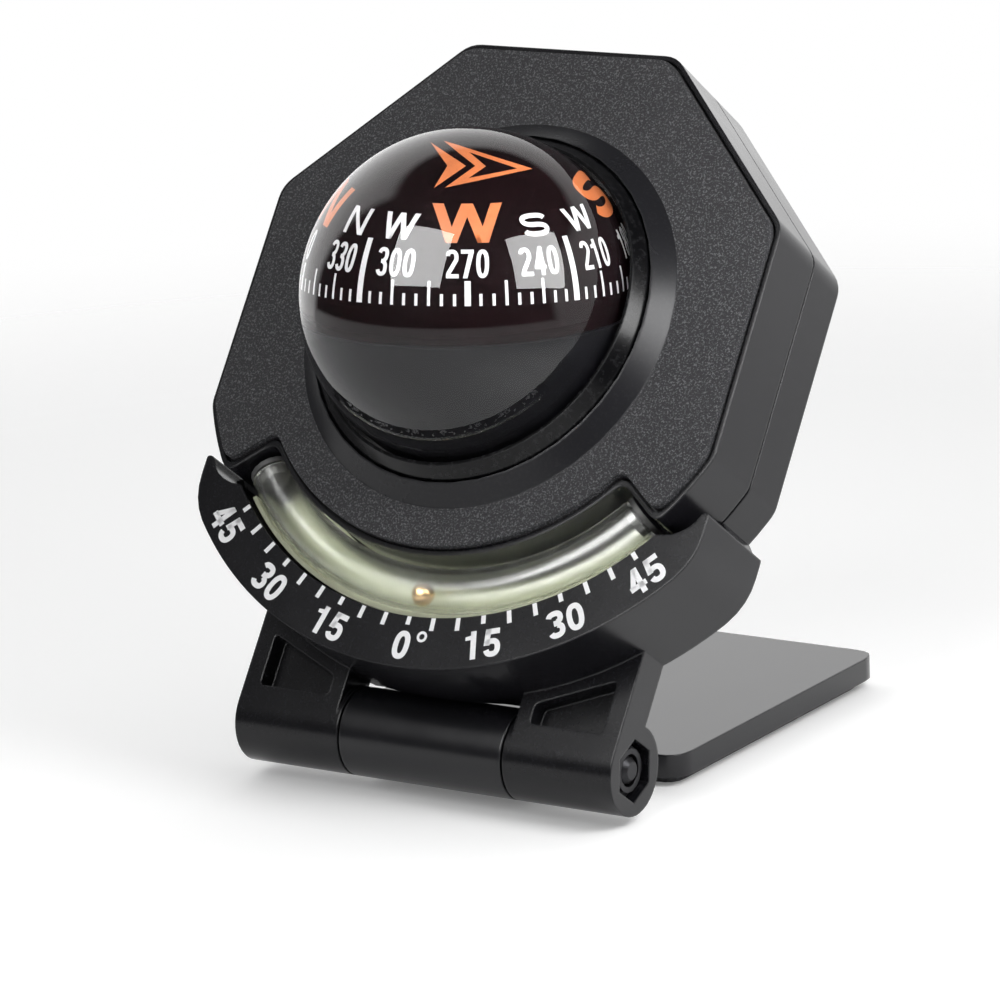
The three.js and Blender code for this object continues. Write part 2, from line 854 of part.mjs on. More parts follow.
const head = new THREE.Group();
head.position.set(0, hingeDown, hingeDepth);
head.add(
  piece('back_housing', backHousing(), 0x2b2c30, 0.5),
  piece('front_shell', frontShell(), 0x2b2c30, 0.5),
  piece('face_plate', facePlate(), 0x4a4a4d, 0.85),
  piece('dome_collar', domeCollar(), 0x111114, 0.2),
  piece('dome_front', domeFront(), 0xdfe3e6, 0.05),
  piece('ball_gasket', ballGasket(), 0x1b1b1d, 0.8),
  piece('ball_back', ballBack(), 0x1d1e21, 0.5),
  piece('filler_plug', fillerPlug(), 0x161618, 0.6),
  piece('inclinometer_tube', inclinometerTube(), 0xd8dcc8, 0.08),
  piece('tube_plug_right', tubePlug(1), 0x9a9a98, 0.6),
  piece('tube_plug_left', tubePlug(-1), 0x9a9a98, 0.6),
  piece('luminous_strip', luminousStrip(), 0xc9d1a0, 0.6),
  piece('hinge_bolt', hingeBolt(), 0x6d6e72, 0.4, 0.9),
  piece('hinge_washer', hingeWasher(), 0x8a8b8f, 0.4, 0.9),
  piece('hinge_nut', hingeNut(), 0x77787c, 0.4, 0.9),
  ...screwAngles.map((angle, i) => (
    piece(`housing_screw_${i + 1}`, housingScrew(angle), 0x55565a, 0.4, 0.9)
  )),
);
hinge.add(head);

const rollBall = piece(
  'inclinometer_ball',
  solid(new THREE.SphereGeometry(rollBallRadius, smallRoundSteps, ballSteps)),
  0xc9a468,
  0.25,
  0.9,
);
const [ballX, ballY] = onArc(rollBallArc, 0);
rollBall.position.set(ballX, ballY, -tubeDepth);
head.add(rollBall);

const levelled = new THREE.Group();
levelled.position.set(0, 0, ballCentreHeight);
levelled.rotation.x = -hinge.rotation.x;
head.add(levelled);

const dipAxis = new THREE.Vector3(Math.cos(dipAzimuth), Math.sin(dipAzimuth), 0);
const innerBall = new THREE.Group();
innerBall.quaternion.setFromAxisAngle(dipAxis, -cardDip);
innerBall.add(
  piece('level_bowl', levelBowl(), 0x4c4d51, 0.6),
  piece('ballast_weight', ballastWeight(), 0x6c6c6f, 0.6, 0.6),
  piece('pivot_post', pivotPost(), 0xb0a070, 0.35, 0.9),
  piece('compass_card', compassCard(), 0x151517, 0.5),
  piece('jewel_cup', jewelCup(), 0x7d1f2a, 0.15),
  piece('card_magnet_front', cardMagnet(-1), 0x8d8e92, 0.4, 0.8),
  piece('card_magnet_back', cardMagnet(1), 0x8d8e92, 0.4, 0.8),
);
levelled.add(innerBall);

export default compass;
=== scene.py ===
import bmesh
import bpy
import numpy as np
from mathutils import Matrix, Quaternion, Vector


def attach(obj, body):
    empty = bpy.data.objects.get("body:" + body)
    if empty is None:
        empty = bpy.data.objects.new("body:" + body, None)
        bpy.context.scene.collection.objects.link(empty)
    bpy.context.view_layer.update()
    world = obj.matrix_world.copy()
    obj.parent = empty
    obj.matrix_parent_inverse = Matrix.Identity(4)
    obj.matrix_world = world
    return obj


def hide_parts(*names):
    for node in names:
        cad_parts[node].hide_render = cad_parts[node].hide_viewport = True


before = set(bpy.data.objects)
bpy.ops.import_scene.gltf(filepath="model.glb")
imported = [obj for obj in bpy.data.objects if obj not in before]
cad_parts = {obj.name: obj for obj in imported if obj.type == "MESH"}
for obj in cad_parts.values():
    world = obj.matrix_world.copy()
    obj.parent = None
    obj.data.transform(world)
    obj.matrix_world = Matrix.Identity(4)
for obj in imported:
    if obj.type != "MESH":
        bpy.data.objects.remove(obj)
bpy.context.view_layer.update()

# ---------------------------------------------------------------------------
# Studio: a pale floor, a white room, six lamps and the camera of the photograph.
# Four lamps light the object. The two called shine only mirror in it, as the photograph's soft boxes do.
# The room is white behind and to the left of the object and dark in front of it, as the clear ball shows.
# ---------------------------------------------------------------------------
scene = bpy.context.scene
scene.view_settings.view_transform = "Standard"
STUDIO_AIM = (0.0, -0.0265, 0.0539)


def towards(azimuth, elevation):
    """Unit vector at an azimuth from -Y towards +X and an elevation above the floor, in degrees."""
    a, e = np.radians(azimuth), np.radians(elevation)
    return Vector((np.sin(a) * np.cos(e), -np.cos(a) * np.cos(e), np.sin(e)))


def soft_box(name, azimuth, elevation, distance, wide, high, radiance, shine, roll=0.0):
    """Area lamp that faces the object, of a power of radiance times pi times its area.

    With shine it shows only as a reflection or through clear pieces, and without it lights only matt skins.
    """
    lamp = bpy.data.lights.new(name, "AREA")
    lamp.shape = "RECTANGLE"
    lamp.size, lamp.size_y = wide, high
    lamp.energy = radiance * np.pi * wide * high
    box = bpy.data.objects.new(name, lamp)
    direction = towards(azimuth, elevation)
    box.location = Vector(STUDIO_AIM) + direction * distance
    box.rotation_mode = "QUATERNION"
    turned = Quaternion((0, 0, 1), np.radians(roll))
    box.rotation_quaternion = direction.to_track_quat("Z", "Y") @ turned
    box.visible_camera = False
    box.visible_diffuse = not shine
    box.visible_glossy = shine
    box.visible_transmission = shine
    scene.collection.objects.link(box)


# Azimuth and elevation in degrees, distance, width and height in metres, radiance, shine or not, and a roll
soft_box("left soft box", -6, 37, 0.5, 0.32, 0.34, 2.5, False)
soft_box("right soft box", 84, 20, 0.115, 0.06, 0.06, 10.5, False)
soft_box("back soft box", 180, 50, 0.9, 1.2, 1.2, 0.5, False)
soft_box("ceiling", 0, 90, 0.8, 1.6, 1.6, 0.30, False)
soft_box("left shine", -6.2, 37, 0.5, 0.32, 0.34, 13.0, True, 5)
soft_box("right shine", 83.5, 27.8, 0.12, 0.073, 0.0687, 13.0, True, -12)


def put(socket, value):
    """Links an input socket to an output socket, or sets it to a plain value."""
    if isinstance(value, bpy.types.NodeSocket):
        socket.id_data.links.new(value, socket)
    else:
        socket.default_value = value


def feed(node, *ordered, **named):
    """Feeds a node's inputs in order, or by name with an underscore for each space.

    A name that starts with a small letter is one of the node's own settings.
    """
    for socket, value in zip(node.inputs, ordered):
        put(socket, value)
    for name, value in named.items():
        if name[0].islower():
            setattr(node, name, value)
        else:
            put(node.inputs[name.replace("_", " ")], value)
    return node


def add(tree, kind, *ordered, **named):
    """Adds a shader node to a tree and feeds it."""
    return feed(tree.nodes.new("ShaderNode" + kind), *ordered, **named)


def span(tree, value, low=0.0, high=1.0, start=0.0, stop=1.0, ease="LINEAR"):
    """Output that goes from start to stop while the value goes from low to high."""
    return add(tree, "MapRange", value, low, high, start, stop, interpolation_type=ease).outputs[0]


def soft_step(tree, value, low, high, start=0.0, stop=1.0):
    """Output that goes from start to stop with a gentle start and end."""
    return span(tree, value, low, high, start, stop, "SMOOTHSTEP")


def combine(tree, operation, *values):
    """Output of one mathematical operation on sockets or plain numbers."""
    return add(tree, "Math", *values, operation=operation).outputs[0]


def blend(tree, share, first, second, kind="RGBA", mode="MIX"):
    """Goes from the first colour, number or direction to the second as the share goes from 0 to 1."""
    first_input, result = {"FLOAT": (2, 0), "VECTOR": (4, 1), "RGBA": (6, 2)}[kind]
    node = add(tree, "Mix", share, data_type=kind, blend_type=mode)
    put(node.inputs[first_input], first)
    put(node.inputs[first_input + 1], second)
    return node.outputs[result]


room = bpy.data.worlds.new("studio room")
scene.world = room
room.use_nodes = True
tree = room.node_tree
tree.nodes.clear()
# The wall is white behind the object up to a slanting top edge, brighter to the left, over a pale table
side, depth, height = add(tree, "SeparateXYZ", add(tree, "TexCoord").outputs["Generated"]).outputs
behind = soft_step(tree, combine(tree, "MULTIPLY_ADD", height, 0.18, depth), -0.07, 0.09)
below_top = soft_step(tree, combine(tree, "MULTIPLY_ADD", side, 0.23, height), 0.60, 0.72, 1.0, 0.0)
leftwards = soft_step(tree, side, 0.0, -0.9, 1.05, 1.7)
wall = combine(tree, "MULTIPLY", combine(tree, "MULTIPLY", behind, below_top), leftwards)
table = soft_step(tree, height, -0.12, -0.16, 0.05, 0.88)
lit_room = combine(tree, "MAXIMUM", wall, table)
# The camera itself sees plain white
strength = blend(tree, add(tree, "LightPath").outputs["Is Camera Ray"], lit_room, 1.0, "FLOAT")
background = add(tree, "Background", (1, 1, 1, 1), strength)
add(tree, "OutputWorld", background.outputs[0])

lens = bpy.data.cameras.new("camera")
lens.lens, lens.sensor_width = 183.03874, 36.0
lens.clip_start, lens.clip_end = 0.01, 20.0
camera = bpy.data.objects.new("camera", lens)
camera.location = (0.296965, -0.477794, 0.167683)
camera.rotation_mode = "QUATERNION"
camera.rotation_quaternion = Quaternion((0.760728, 0.585285, 0.186939, 0.209258))
scene.collection.objects.link(camera)
scene.camera = camera


def grid_faces(rows, columns, wrapped=False):
    """Quads between neighbouring points of a grid, numbered row by row. Wrapped rows are closed rings."""
    row = np.arange(rows - 1)[:, None]
    column = np.arange(columns if wrapped else columns - 1)[None, :]
    beside = (column + 1) % columns
    corners = (
        row * columns + column,
        row * columns + beside,
        (row + 1) * columns + beside,
        (row + 1) * columns + column,
    )
    return np.stack([np.broadcast_to(c, (row.size, column.size)) for c in corners], axis=-1).reshape(-1, 4)


def mesh_piece(name, points, faces, material, sharp=35.0, outward=True):
    """Mesh object from points and faces, with its doubles merged and its faces turned outwards."""
    mesh = bpy.data.meshes.new(name)
    mesh.from_pydata(np.asarray(points).reshape(-1, 3).tolist(), [], [list(f) for f in faces])
    work = bmesh.new()
    work.from_mesh(mesh)
    bmesh.ops.remove_doubles(work, verts=work.verts, dist=1e-8)
    bmesh.ops.dissolve_degenerate(work, edges=work.edges, dist=1e-9)
    if outward:
        bmesh.ops.recalc_face_normals(work, faces=work.faces)
    work.to_mesh(mesh)
    work.free()
    mesh.shade_smooth()
    mesh.set_sharp_from_angle(angle=np.radians(sharp))
    mesh.materials.append(material)
    piece = bpy.data.objects.new(name, mesh)
    scene.collection.objects.link(piece)
    return piece


def new_material(name, **values):
    """Material with one Principled shader. Returns it with its node tree and that shader."""
    material = bpy.data.materials.new(name)
    material.use_nodes = True
    shader = material.node_tree.nodes["Principled BSDF"]
    return material, material.node_tree, feed(shader, **values)


def object_place(tree):
    """Output with the place on the object, in metres."""
    return add(tree, "TexCoord").outputs["Object"]


def noise(tree, place, scale, detail, roughness=0.5):
    """Output of a cloudy pattern between 0 and 1."""
    return add(tree, "TexNoise", Vector=place, Scale=scale, Detail=detail, Roughness=roughness).outputs[0]


def relief(tree, height, strength, distance, **under):
    """Normal of a surface that a height pattern raises, over another normal where one is given."""
    return add(tree, "Bump", Height=height, Strength=strength, Distance=distance, **under).outputs[0]


FLOOR_RADIUS, FLOOR_DROP, FLOOR_RINGS, FLOOR_SPOKES = 0.31, 0.0001, 9, 64
FADE_FROM, FADE_TO = 0.15, 0.30
floor_paint, tree, shader = new_material(
    "pale floor", Base_Color=(0.93, 0.93, 0.93, 1), Roughness=0.9, Specular_IOR_Level=0.1,
    Emission_Color=(1, 1, 1, 1), Emission_Strength=0.15,
)
place = object_place(tree)
reach = add(tree, "VectorMath", place, operation="LENGTH").outputs["Value"]
feed(
    shader, Alpha=soft_step(tree, reach, FADE_FROM, FADE_TO, 1.0, 0.0),
    Normal=relief(tree, noise(tree, place, 900.0, 3.0), 0.05, 0.0002),
)
# Disc: a radius and a turn on a grid, its first row closed to one point
radius = np.linspace(0, FLOOR_RADIUS, FLOOR_RINGS)[:, None]
turn = np.linspace(0, 2 * np.pi, FLOOR_SPOKES, endpoint=False)[None, :]
disc = np.stack([radius * np.cos(turn), radius * np.sin(turn), 0 * radius * turn - FLOOR_DROP], axis=-1)
disc_faces = grid_faces(FLOOR_RINGS, FLOOR_SPOKES, True)
floor = mesh_piece("studio_floor", disc, disc_faces, floor_paint, outward=False)

# ---------------------------------------------------------------------------
# Base plate: one black moulding of a flat square plate, a tongue and the middle knuckle of the hinge.
# The plate is the glossiest of the black mouldings, and the knuckle in front of it is satin.
# ---------------------------------------------------------------------------


def moulded_skin():
    """Node group for a moulded surface: specks, grain, patches of gloss, and soft edges rubbed lighter."""
    group = bpy.data.node_groups.new("moulded skin", "ShaderNodeTree")
    face = group.interface
    for name, kind, default in (
        ("Colour", "NodeSocketColor", (0.03, 0.03, 0.035, 1)),
        ("Speck Colour", "NodeSocketColor", (0.1, 0.1, 0.1, 1)),
        ("Specks", "NodeSocketFloat", 0.3),
        ("Grain Scale", "NodeSocketFloat", 3000.0),
        ("Grain Height", "NodeSocketFloat", 0.00002),
        ("Roughness", "NodeSocketFloat", 0.4),
        ("Gloss Spread", "NodeSocketFloat", 0.1),
        ("Edge Radius", "NodeSocketFloat", 0.0002),
        ("Edge Rub", "NodeSocketFloat", 0.3),
    ):
        socket = face.new_socket(name, in_out="INPUT", socket_type=kind)
        socket.default_value = default
    for name, kind in (("Colour", "Color"), ("Roughness", "Float"), ("Normal", "Vector")):
        face.new_socket(name, in_out="OUTPUT", socket_type="NodeSocket" + kind)
    given = group.nodes.new("NodeGroupInput").outputs
    place = object_place(group)
    grain = noise(group, place, given["Grain Scale"], 3.0, 0.62)
    spots = combine(group, "MULTIPLY", soft_step(group, grain, 0.5, 0.66), given["Specks"])
    specked = blend(group, spots, given["Colour"], given["Speck Colour"])
    # Gloss varies in broad patches and along fine stretched hairlines
    patch = noise(group, place, 110.0, 4.0, 0.6)
    stretched = add(group, "Mapping", place, Scale=(1.0, 9.0, 1.0), Rotation=(0.3, 0.5, 0.7)).outputs[0]
    hair = noise(group, stretched, 900.0, 2.0)
    uneven = combine(group, "SUBTRACT", blend(group, 0.15, patch, hair, "FLOAT"), 0.5)
    spread = combine(group, "MULTIPLY", uneven, given["Gloss Spread"])
    gloss = add(group, "Math", spread, given["Roughness"], use_clamp=True).outputs[0]
    # An edge is where the softened normal turns away from the true one
    softened = add(group, "Bevel", given["Edge Radius"], samples=4).outputs[0]
    true_normal = add(group, "NewGeometry").outputs["Normal"]
    agreement = add(group, "VectorMath", softened, true_normal, operation="DOT_PRODUCT").outputs["Value"]
    broken_edge = combine(group, "MULTIPLY", span(group, agreement, 0.995, 0.86), patch)
    rub = combine(group, "MULTIPLY", broken_edge, given["Edge Rub"])
    lighter = blend(group, 1.0, specked, (0.045, 0.045, 0.047, 1), mode="ADD")
    grained = relief(group, grain, 1.0, given["Grain Height"], Normal=softened)
    feed(group.nodes.new("NodeGroupOutput"), blend(group, rub, specked, lighter), gloss, grained)
    return group


MOULDED_SKIN = moulded_skin()


def moulded(name, skin, **values):
    """Principled material whose colour, roughness and normal come from a moulded skin of given values."""
    material, tree, shader = new_material(name, **values)
    given = add(tree, "Group", node_tree=MOULDED_SKIN, name="skin", **skin).outputs
    feed(shader, Base_Color=given["Colour"], Roughness=given["Roughness"], Normal=given["Normal"])
    return material


def smooth_by_angle():
    """Geometry node group that shades every face smooth and keeps edges sharper than 30 degrees crisp."""
    group = bpy.data.node_groups.new("smooth by angle", "GeometryNodeTree")
    for way in ("INPUT", "OUTPUT"):
        group.interface.new_socket("Mesh", in_out=way, socket_type="NodeSocketGeometry")
    node = group.nodes.new
    given, out = node("NodeGroupInput"), node("NodeGroupOutput")
    angle = node("GeometryNodeInputMeshEdgeAngle").outputs[0]
    sharper = feed(
        node("FunctionNodeCompare"), data_type="FLOAT", operation="GREATER_THAN", A=angle, B=np.radians(30),
    )
    faces, edges = node("GeometryNodeSetShadeSmooth"), node("GeometryNodeSetShadeSmooth")
    feed(faces, given.outputs[0], domain="FACE")
    feed(edges, faces.outputs[0], sharper.outputs[0], False, domain="EDGE")
    feed(out, edges.outputs[0])
    return group


SMOOTH_BY_ANGLE = smooth_by_angle()


def finish_node(name, material):
    """Gives a CAD node its finish: one material, merged corners and smooth shading between flat faces."""
    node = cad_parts[name]
    node.data.materials.clear()
    node.data.materials.append(material)
    weld = node.modifiers.new("merged corners", "WELD")
    weld.merge_threshold = 1e-6
    smooth = node.modifiers.new("smooth by angle", "NODES")
    smooth.node_group = SMOOTH_BY_ANGLE


base_black = moulded(
    "glossy black moulding",
    dict(
        Colour=(0.006, 0.006, 0.0078, 1), Speck_Colour=(0.014, 0.014, 0.016, 1), Specks=0.4,
        Grain_Scale=1500.0, Grain_Height=0.000001, Roughness=0.15, Gloss_Spread=0.10,
        Edge_Radius=0.0003, Edge_Rub=0.5,
    ),
    Specular_IOR_Level=0.40,
)
SATIN_FROM, GLOSSY_FROM = -0.0285, -0.0275
tree = base_black.node_tree
depth = add(tree, "SeparateXYZ", object_place(tree)).outputs["Y"]
feed(tree.nodes["skin"], Roughness=span(tree, depth, SATIN_FROM, GLOSSY_FROM, 0.24, 0.15))
finish_node("base_plate", base_black)

# ---------------------------------------------------------------------------
# Adhesive pad: a square of closed-cell foam under the plate.
# It is die cut, and its skin shows the small cells of the foam.
# ---------------------------------------------------------------------------
pad_foam, tree, shader = new_material("pad foam", Roughness=0.95)
cells = add(tree, "TexVoronoi", Vector=object_place(tree), Scale=2600.0).outputs["Distance"]
feed(
    shader, Base_Color=blend(tree, cells, (0.022, 0.022, 0.024, 1), (0.07, 0.07, 0.073, 1)),
    Normal=relief(tree, cells, 0.9, 0.00015),
)
finish_node("adhesive_pad", pad_foam)

# ---------------------------------------------------------------------------
# Back housing: one satin black moulding of the tray, the scale crescent with its horns and both arms.
# The scale is pad printed in white on the crescent: 19 marks, seven figures and a degree ring.
# ---------------------------------------------------------------------------
housing_black = moulded(
    "satin black moulding",
    dict(
        Colour=(0.0065, 0.0064, 0.0078, 1), Speck_Colour=(0.014, 0.014, 0.017, 1), Specks=0.4,
        Grain_Scale=2600.0, Grain_Height=0.000003, Roughness=0.23, Gloss_Spread=0.10,
        Edge_Radius=0.0003, Edge_Rub=0.6,
    ),
    Specular_IOR_Level=0.30,
)
finish_node("back_housing", housing_black)

HEAD_LEAN = np.radians(35.6)
HEAD_CENTRE = np.array([0.0, -22.5475, 51.0210])
HEAD_AXES = np.array([
    [1.0, 0.0, 0.0],
    [0.0, np.sin(HEAD_LEAN), np.cos(HEAD_LEAN)],
    [0.0, -np.cos(HEAD_LEAN), np.sin(HEAD_LEAN)],
])


def on_head(across, up, out):
    """Points in metres from millimetres on the head: across and up the dial, out from the rim's face."""
    local = np.stack(np.broadcast_arrays(across, up, out), axis=-1).astype(float)
    return (HEAD_CENTRE + local @ HEAD_AXES) * 0.001


ARC_RISE = 0.5


def arc_point(radius, angle):
    """Across and up of a point on the scale's arc, at an angle from straight down, in radians."""
    return radius * np.sin(angle), ARC_RISE - radius * np.cos(angle)


def bar(a, b, c, d, rows=5, columns=5):
    """Straight-sided patch between four corners: each point is a mix of the four by its two shares."""
    s, t = np.meshgrid(np.linspace(0, 1, rows), np.linspace(0, 1, columns), indexing="ij")
    s, t = s[..., None], t[..., None]
    low = (1 - t) * np.array(a) + t * np.array(b)
    high = (1 - t) * np.array(d) + t * np.array(c)
    return (1 - s) * low + s * high


def stroke(path, width, columns=3):
    """Band of one width along a path: each path point moved along its normal by shares of the width."""
    path = np.asarray(path, float)
    ahead = np.gradient(path, axis=0)
    ahead /= np.linalg.norm(ahead, axis=1, keepdims=True)
    normal = np.stack([-ahead[:, 1], ahead[:, 0]], axis=1)
    share = np.linspace(-0.5, 0.5, columns)[None, :, None] * width
    return path[:, None, :] + share * normal[:, None, :]


def oval(centre_x, centre_y, wide, high, start, stop, steps=24, power=2.4):
    """Arc of a squared oval between two angles, in degrees: cosine and sine raised to 2 over the power."""
    turn = np.radians(np.linspace(start, stop, steps))[:, None]
    c, s = np.cos(turn), np.sin(turn)
    bend = 2.0 / power
    return np.hstack([
        centre_x + wide * np.sign(c) * np.abs(c) ** bend,
        centre_y + high * np.sign(s) * np.abs(s) ** bend,
    ])


def box(left, low, right, high):
    """Upright rectangular patch between two sides and two heights."""
    return bar((left, low), (right, low), (right, high), (left, high))


def figure(sign, wide, thick):
    """Patches of a figure or letter of height 1, a given width and stroke, its left foot at the origin."""
    # Half the stroke, the width, its middle, and how far a stroke's own line may lie from the middle
    h, w, m = thick / 2, wide, wide / 2
    r = m - h
    if sign == "0":
        return [stroke(oval(m, 0.5, r, 0.5 - h, -180, 180, 49), thick)]
    if sign == "1":
        stem = w * 0.72
        return [
            box(stem - thick, 0, stem, 1),
            bar((stem - thick, 0.70), (stem - thick, 0.86), (stem - thick * 0.4, 1), (stem - thick, 1)),
            bar((w * 0.08, 0.70), (stem - thick, 0.70), (stem - thick, 0.86), (w * 0.08, 0.82)),
        ]
    if sign == "2":
        head = oval(m, 0.72, r, 0.28 - h, 168, -20, 20)
        tail = np.linspace(head[-1], (h * 0.9, thick * 0.9), 12)[1:]
        return [stroke(np.concatenate([head, tail]), thick), box(0, 0, w, thick)]
    if sign == "3":
        upper = oval(m, 0.735, r, 0.265 - h, 165, -75, 20)
        lower = oval(m, 0.28, r, 0.28 - h, 80, -165, 20)
        return [stroke(upper, thick), stroke(lower, thick), box(m * 0.8, 0.44, m * 1.3, 0.44 + thick)]
    if sign == "4":
        stem, arm = w * 0.84, 0.22 + thick * 0.6
        return [
            box(stem - thick, 0, stem, 1),
            box(0, 0.22, w, 0.22 + thick),
            bar((0, arm), (thick * 1.05, arm), (stem - thick * 0.1, 1), (stem - thick, 1)),
        ]
    if sign == "5":
        bowl = oval(m, 0.33, r, 0.33 - h, 150, -165, 26)
        return [
            stroke(bowl, thick),
            box(w * 0.12, 1 - thick, w * 0.94, 1),
            bar((w * 0.02, 0.42), (w * 0.02 + thick, 0.42), (w * 0.12 + thick, 1), (w * 0.12, 1)),
        ]
    if sign in "69":
        bowl = oval(m, 0.31, r, 0.31 - h, -180, 180, 33)
        side = oval(m, 0.5, r, 0.5 - h, 195, 50, 24)
        parts = [stroke(bowl, thick), stroke(side, thick)]
        return parts if sign == "6" else [np.array([w, 1.0]) - part for part in parts]
    if sign == "7":
        low = 1 - thick * 0.8
        return [
            box(0, 1 - thick, w, 1),
            bar((w * 0.14, 0), (w * 0.14 + thick * 1.1, 0), (w, low), (w - thick * 1.2, low)),
        ]
    if sign == "8":
        return [
            stroke(oval(m, 0.745, r * 0.92, 0.255 - h, -180, 180, 33), thick),
            stroke(oval(m, 0.275, r, 0.275 - h, -180, 180, 33), thick),
        ]
    if sign == "E":
        return [*(box(0, y, w, y + thick) for y in (0, 0.5 - h, 1 - thick)), box(0, 0, thick * 1.1, 1)]
    if sign == "N":
        slant = bar((w - thick * 1.25, 0), (w - thick * 0.1, 0), (thick * 1.25, 1), (thick * 0.1, 1))
        return [box(0, 0, thick, 1), box(w - thick, 0, w, 1), slant]
    if sign == "S":
        high = (1 - thick) / 4
        upper = oval(m, 0.5 + high, r, high, 15, 270, 26)
        lower = oval(m, 0.5 - high, r, high, 90, -165, 26)
        return [stroke(np.concatenate([upper, lower[1:]]), thick)]
    if sign == "W":
        half, tip, foot = thick * 0.55, thick * 1.12, w * 0.27
        peak = (m - half, m + half)
        legs = ((foot, 0, tip), (foot, *peak), (w - foot, *peak), (w - foot, w - tip, w))
        return [bar((x - half, 0), (x + half, 0), (right, 1), (left, 1)) for x, left, right in legs]


def line_of(text, high, wide, thick, gap):
    """Patches of a line of figures in millimetres, round the origin: each steps on by width and gap."""
    step = wide + gap
    start = -(len(text) * step - gap) / 2
    patches = []
    for i, sign in enumerate(text):
        for patch in figure(sign, wide / high, thick / high):
            patches.append(patch * high + np.array([start + i * step, -high / 2]))
    return patches


INK_FILM, INK_SUNK = 0.04, 0.01


def ink(name, patches, lay, material):
    """Thin printed film: each patch is laid at two heights and closed along its rim into one slab."""
    points, faces, offset = [], [], 0
    for patch in patches:
        rows, columns = patch.shape[:2]
        low, high = (lay(patch[..., 0], patch[..., 1], t - INK_SUNK) for t in (0.0, INK_FILM))
        count = rows * columns
        index = np.arange(count).reshape(rows, columns)
        rim = np.concatenate([index[0, :-1], index[:-1, -1], index[-1, :0:-1], index[:0:-1, 0]])
        after = np.roll(rim, -1)
        sides = np.stack([rim, after, after + count, rim + count], axis=1)
        flat = grid_faces(rows, columns)
        faces.append(np.concatenate([flat[:, ::-1], flat + count, sides]) + offset)
        points.append(np.concatenate([low.reshape(-1, 3), high.reshape(-1, 3)]))
        offset += 2 * count
    return mesh_piece(name, np.concatenate(points), np.concatenate(faces), material, sharp=50)


def printing_ink(name, colour, worn):
    """Ink with a slightly uneven film: tone and gloss vary in fine patches, and it is worn where thin."""
    material, tree, shader = new_material(name, Specular_IOR_Level=0.3)
    film = noise(tree, object_place(tree), 2200.0, 4.0, 0.6)
    feed(
        shader, Base_Color=blend(tree, span(tree, film, 0.25, 0.5), worn, colour),
        Roughness=span(tree, film, start=0.55, stop=0.38), Normal=relief(tree, film, 0.3, 0.00001),
    )
    return material


white_ink = printing_ink("white ink", (0.92, 0.92, 0.93, 1), (0.85, 0.85, 0.86, 1))

SCALE_RADIUS, SCALE_FACE = 34.95, -2.2
MARK_START, SHORT_MARK, LONG_MARK, MARK_HALF = 0.05, 1.0, 1.5, 0.26
# Height, width, stroke and gap of the figures
SCALE_FIGURE_RADIUS, SCALE_FIGURE = 38.3, (3.25, 2.02, 0.64, 0.36)
RING_PLACE, RING_RADIUS, RING_STROKE = (37.17, np.radians(3.5)), 0.48, 0.30


def on_crescent(across, up, height):
    """Print on the crescent lies in its flat face."""
    return on_head(across, up, SCALE_FACE + height)


scale_print = []
for mark in range(-45, 50, 5):
    spread = MARK_HALF / SCALE_RADIUS
    left, right = np.radians(mark) - spread, np.radians(mark) + spread
    start = SCALE_RADIUS + MARK_START
    stop = SCALE_RADIUS + (SHORT_MARK if mark % 15 == 0 else LONG_MARK)
    ends = ((start, left), (start, right), (stop, right), (stop, left))
    scale_print.append(bar(*(arc_point(*end) for end in ends), rows=3, columns=3))
for degrees in range(-45, 50, 15):
    angle = np.radians(degrees)
    middle = np.array(arc_point(SCALE_FIGURE_RADIUS, angle))
    along, inward = np.array([np.cos(angle), np.sin(angle)]), np.array([-np.sin(angle), np.cos(angle)])
    for patch in line_of(str(abs(degrees)), *SCALE_FIGURE):
        scale_print.append(middle + patch[..., :1] * along + patch[..., 1:] * inward)
ring = oval(*arc_point(*RING_PLACE), RING_RADIUS, RING_RADIUS, -180, 180, 33, power=2.0)
scale_print.append(stroke(ring, RING_STROKE))
scale_ink = ink("scale_print", scale_print, on_crescent, white_ink)
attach(scale_ink, "head")

# ---------------------------------------------------------------------------
# Hinge bolt, washer and nut: plated steel, turned and rolled, tightened through the three knuckles.
# The nut's collar and the bolt's tip stand in the six-sided recess on the right.
# ---------------------------------------------------------------------------


def turned_metal(name, colour, dark, roughness, ring_scale):
    """Plated metal: tone and gloss vary in patches, with fine turning rings about the bolt's line."""
    material, tree, shader = new_material(name, Metallic=1.0)
    place = object_place(tree)
    patch = noise(tree, place, 700.0, 5.0, 0.6)
    rings = add(tree, "TexWave", place, Scale=ring_scale, Distortion=2.0, Detail=2.0).outputs["Fac"]
    softened = add(tree, "Bevel", 0.00015, samples=4).outputs[0]
    feed(
        shader, Base_Color=blend(tree, patch, dark, colour),
        Roughness=span(tree, patch, start=roughness - 0.1, stop=roughness + 0.15),
        Normal=relief(tree, rings, 0.4, 0.00002, Normal=softened),
    )
    return material


dark_plating = turned_metal("dark plating", (0.05, 0.05, 0.053, 1), (0.02, 0.02, 0.022, 1), 0.38, 2600.0)
for name in ("hinge_bolt", "hinge_washer", "hinge_nut"):
    finish_node(name, dark_plating)

# ---------------------------------------------------------------------------
# Luminous strip: pale yellow-green plastic that glows after light, bent behind and below the tube.
# Its body scatters light a little, so its colour is soft and cloudy.
# ---------------------------------------------------------------------------


def along_arc(section, half_angle, steps):
    """Closed section of radius and height carried along the scale's arc, with both ends closed."""
    section = np.asarray(section, float)
    angle = np.linspace(-half_angle, half_angle, steps)[:, None]
    across, up = arc_point(section[None, :, 0], angle)
    points = on_head(across, up, np.broadcast_to(section[None, :, 1], across.shape))
    count = len(section)
    faces = grid_faces(steps, count, True).tolist()
    ends = [list(range(count)), list(range((steps - 1) * count, steps * count))]
    return points, faces + ends


